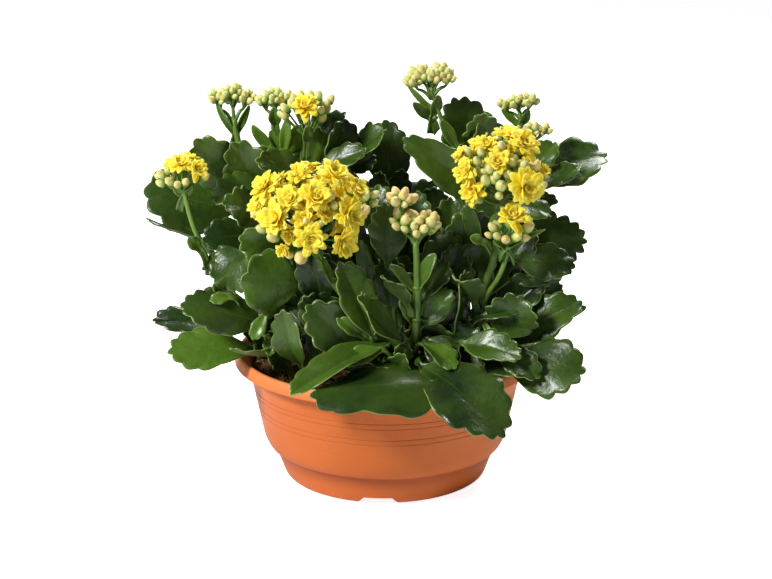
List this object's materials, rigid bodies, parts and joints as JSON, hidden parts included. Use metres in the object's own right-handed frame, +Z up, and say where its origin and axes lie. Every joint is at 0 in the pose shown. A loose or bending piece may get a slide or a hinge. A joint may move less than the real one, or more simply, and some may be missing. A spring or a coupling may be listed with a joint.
{
  "type": "potted kalanchoe",
  "caption": "Leafy succulent in bloom, thick scalloped leaves and round clusters of double flowers and buds on tall stalks, growing in a shallow round bowl pot that stands on its foot ring.",
  "frame": {"origin": "on the pot's turning axis, in the plane of its foot ring", "axes": "+Z up along the pot's axis; the fuller flowering side of the plant faces -Y; +X to the right seen from that side"},
  "size_m": [0.3499, 0.2694, 0.317],
  "materials": {
    "pot": "satin",
    "soil": "matte",
    "stem": "satin",
    "leaf": "satin",
    "petal": "matte",
    "bud": "matte"
  },
  "bodies": {
    "root": {"buds_centre": "bud", "buds_right": "bud", "buds_top": "bud", "buds_top_centre": "bud", "buds_top_left": "bud", "buds_top_right": "bud", "head_big_left": "petal", "head_big_right": "petal", "head_left": "petal", "head_small_right": "petal", "head_top_open": "petal", "leaf_back_centre": "leaf", "leaf_back_high": "leaf", "leaf_back_left": "leaf", "leaf_back_low": "leaf", "leaf_back_low_left": "leaf", "leaf_back_low_right": "leaf", "leaf_back_right": "leaf", "leaf_centre_fold": "leaf", "leaf_centre_long": "leaf", "leaf_centre_shade": "leaf", "leaf_far_left": "leaf", "leaf_far_right": "leaf", "leaf_front_fold": "leaf", "leaf_front_low": "leaf", "leaf_front_right": "leaf", "leaf_front_tall": "leaf", "leaf_left_broad": "leaf", "leaf_left_dark": "leaf", "leaf_left_low": "leaf", "leaf_left_mid": "leaf", "leaf_left_point": "leaf", "leaf_left_rim": "leaf", "leaf_left_shadow": "leaf", "leaf_mid_dark": "leaf", "leaf_mid_fill": "leaf", "leaf_mid_right": "leaf", "leaf_mid_upright": "leaf", "leaf_right_front": "leaf", "leaf_right_gloss": "leaf", "leaf_right_long": "leaf", "leaf_right_low": "leaf", "leaf_right_mid": "leaf", "leaf_right_upper": "leaf", "leaf_top_centre": "leaf", "leaf_top_left": "leaf", "leaf_top_left_inner": "leaf", "leaf_top_right": "leaf", "leaf_top_right_tip": "leaf", "pot": "pot", "soil": "soil", "stem_back": "stem", "stem_centre_left": "stem", "stem_centre_right": "stem", "stem_front_left": "stem", "stem_left": "stem", "stem_right": "stem", "stem_top_centre": "stem", "stem_top_left": "stem", "stem_top_right": "stem"}
  },
  "joints": []
}
